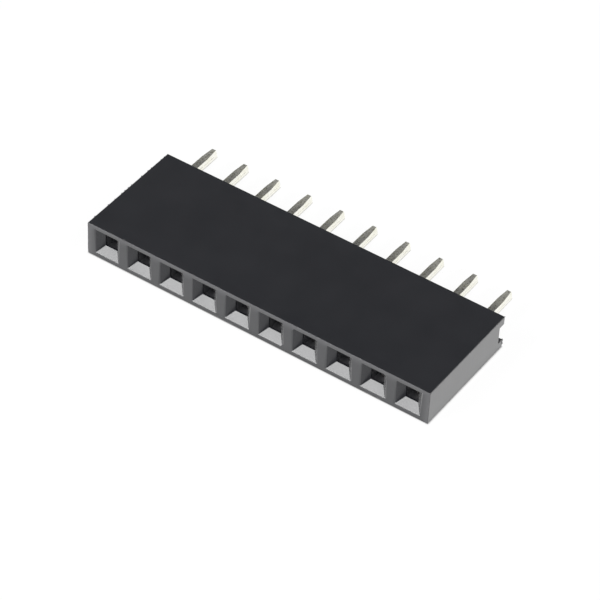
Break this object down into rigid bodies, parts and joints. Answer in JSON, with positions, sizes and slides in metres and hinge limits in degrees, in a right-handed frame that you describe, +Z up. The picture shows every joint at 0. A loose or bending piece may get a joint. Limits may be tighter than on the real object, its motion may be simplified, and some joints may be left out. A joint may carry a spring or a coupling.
{
  "type": "female pin header strip",
  "caption": "Straight single-row socket strip for square pins, with funnel mouths, sprung contacts and through-hole solder tails.",
  "frame": {"origin": "on the surface that the strip lies on, under the middle of the whole part with its tails", "axes": "+X along the row of sockets, -Y out of the sockets, +Y along the solder tails, +Z up through the strip's thickness"},
  "size_m": [0.026, 0.0118, 0.0025],
  "materials": {
    "housing_plastic": "satin moulded black",
    "tinned_contact": "matt tin plate over copper alloy"
  },
  "bodies": {
    "root": {"housing": "housing_plastic", "contact_01": "tinned_contact", "contact_02": "tinned_contact", "contact_03": "tinned_contact", "contact_04": "tinned_contact", "contact_05": "tinned_contact", "contact_06": "tinned_contact", "contact_07": "tinned_contact", "contact_08": "tinned_contact", "contact_09": "tinned_contact", "contact_10": "tinned_contact"}
  },
  "joints": []
}
